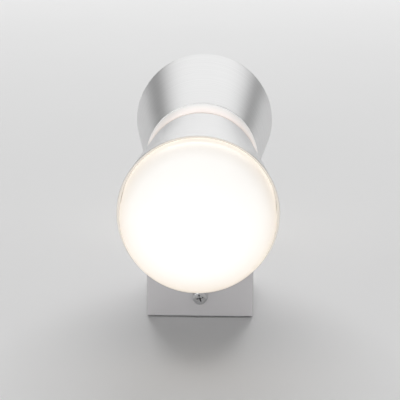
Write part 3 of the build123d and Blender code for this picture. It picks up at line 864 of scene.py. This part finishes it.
def stage_material(name, colour):
    """A matte one-sided finish: a camera behind it sees through."""
    made, tree, shader, place = start_material(name)
    marks = use_group(tree, mottle_group(), place, Cloud_Size=3.0, Tooth_Size=900.0)
    base = tones(tree, marks.outputs["Cloud"], scaled(colour, 0.99), scaled(colour, 1.01))
    tree.links.new(base, shader.inputs["Base Color"])
    shader.inputs["Roughness"].default_value = STAGE_ROUGHNESS
    shader.inputs["Specular IOR Level"].default_value = 0.1
    clear = tree.nodes.new("ShaderNodeBsdfTransparent")
    choose = tree.nodes.new("ShaderNodeMixShader")
    back = tree.nodes.new("ShaderNodeNewGeometry").outputs["Backfacing"]
    tree.links.new(back, choose.inputs[0])
    tree.links.new(shader.outputs[0], choose.inputs[1])
    tree.links.new(clear.outputs[0], choose.inputs[2])
    tree.links.new(choose.outputs[0], tree.nodes["Material Output"].inputs["Surface"])
    return made


class WALLLIGHT_OT_stage(bpy.types.Operator):
    """Put up the pale wall behind the light, a pale floor far below it and the even room light"""

    bl_idname = "wall_light.stage"
    bl_label = "Stage"

    def execute(self, context):
        select_nothing()
        bpy.ops.mesh.primitive_plane_add(
            size=STAGE_SIZE, location=(0, -WALL_PROUD, 0), rotation=(math.pi / 2, 0, 0),
        )
        wall = bpy.context.object
        wall.name = "stage_wall"
        wall.data.materials.append(stage_material("stage_wall", tuple(finishes().wall)))
        bpy.ops.mesh.primitive_plane_add(size=STAGE_SIZE, location=(0, 0, FLOOR_HEIGHT))
        floor = bpy.context.object
        floor.name = "stage_floor"
        floor.data.materials.append(stage_material("stage_floor", tuple(finishes().floor)))
        world = bpy.data.worlds.new("room")
        context.scene.world = world
        world.use_nodes = True
        background = world.node_tree.nodes["Background"]
        background.inputs["Color"].default_value = (1, 1, 1, 1)
        background.inputs["Strength"].default_value = studio().room_level
        return {"FINISHED"}


class WALLLIGHT_OT_lamps(bpy.types.Operator):
    """Hang the far key lamp, the panels above and in front, and the strip below the wall box"""

    bl_idname = "wall_light.lamps"
    bl_label = "Lamps"

    def lamp(self, name, place, target, width, depth, power):
        """A rectangular lamp that looks at the target."""
        select_nothing()
        bpy.ops.object.light_add(type="AREA", location=place)
        lamp = bpy.context.object
        lamp.name = name
        lamp.data.shape = "RECTANGLE"
        lamp.data.size = width
        lamp.data.size_y = depth
        lamp.data.energy = power
        lamp.visible_camera = False
        aim = Vector(target) - Vector(place)
        lamp.rotation_euler = aim.to_track_quat("-Z", "Y").to_euler()
        return lamp

    def execute(self, context):
        head = (HEAD_X, HEAD_Y, 0)
        key = self.lamp(
            "key", place=(0.0, -3.5, 7.2), target=head, width=5.6, depth=2.0, power=studio().key_power,
        )
        key.visible_glossy = False
        self.lamp(
            "panel", place=(0.06, -1.05, 1.75), target=head, width=2.12, depth=1.3,
            power=studio().panel_power,
        )
        self.lamp(
            "top", place=(0.0, -0.27, 1.9), target=(0.0, -0.27, 0.0), width=0.8, depth=0.5,
            power=studio().top_power,
        )
        front = self.lamp(
            "front", place=(0.0, -2.0, 0.0), target=head, width=3.4, depth=1.6, power=studio().front_power,
        )
        front.visible_diffuse = False
        self.lamp(
            "under", place=(-0.35, -0.20, -1.5), target=(0.0, -0.02, 0.0), width=1.0, depth=0.25,
            power=studio().under_power,
        )
        return {"FINISHED"}


class WALLLIGHT_OT_camera(bpy.types.Operator):
    """Place the camera below the light, looking steeply up along the wall"""

    bl_idname = "wall_light.camera"
    bl_label = "Camera"

    def execute(self, context):
        select_nothing()
        bpy.ops.object.camera_add(location=studio().camera_place)
        camera = bpy.context.object
        camera.name = "camera"
        pitch, roll, turn = studio().camera_turn
        axes = Matrix.Rotation(turn, 3, "Z") @ Matrix.Rotation(roll, 3, "Y") @ Matrix.Rotation(pitch, 3, "X")
        right, down, ahead = axes[0], axes[1], axes[2]
        turned = Matrix((right, -down, -ahead)).transposed()
        camera.matrix_world = Matrix.Translation(studio().camera_place) @ turned.to_4x4()
        camera.data.sensor_width = SENSOR_WIDTH
        camera.data.lens = SENSOR_WIDTH * studio().focal_pixels / PICTURE_WIDTH
        camera.data.clip_start = 0.01
        context.scene.camera = camera
        context.scene.view_settings.view_transform = "Standard"
        return {"FINISHED"}


class WALLLIGHT_PT_panel(bpy.types.Panel):
    """Steps that build the wall light"""

    bl_label = "Wall Light"
    bl_idname = "WALLLIGHT_PT_panel"
    bl_space_type = "VIEW_3D"
    bl_region_type = "UI"
    bl_category = "Wall Light"

    def draw(self, context):
        column = self.layout.column()
        for operator in OPERATORS:
            column.operator(operator.bl_idname)
        for settings in (sizes(), finishes(), studio()):
            for key in settings.__annotations__:
                column.prop(settings, key)


OPERATORS = (
    WALLLIGHT_OT_camera,
    WALLLIGHT_OT_stage,
    WALLLIGHT_OT_lamps,
    WALLLIGHT_OT_finishes,
    WALLLIGHT_OT_cones,
    WALLLIGHT_OT_diffusers,
    WALLLIGHT_OT_ring,
    WALLLIGHT_OT_cover_screws,
)
CLASSES = (WallLightSizes, WallLightFinishes, WallLightStudio) + OPERATORS + (WALLLIGHT_PT_panel,)


def register():
    for one in CLASSES:
        bpy.utils.register_class(one)
    bpy.types.Scene.wall_light_sizes = PointerProperty(type=WallLightSizes)
    bpy.types.Scene.wall_light_finishes = PointerProperty(type=WallLightFinishes)
    bpy.types.Scene.wall_light_studio = PointerProperty(type=WallLightStudio)


def unregister():
    del bpy.types.Scene.wall_light_studio
    del bpy.types.Scene.wall_light_finishes
    del bpy.types.Scene.wall_light_sizes
    for one in reversed(CLASSES):
        bpy.utils.unregister_class(one)


def main():
    register()
    bpy.ops.wall_light.camera()
    bpy.ops.wall_light.stage()
    bpy.ops.wall_light.lamps()
    bpy.ops.wall_light.finishes()
    bpy.ops.wall_light.cones()
    bpy.ops.wall_light.diffusers()
    bpy.ops.wall_light.ring()
    bpy.ops.wall_light.cover_screws()
    select_nothing()


if __name__ == "__main__":
    main()
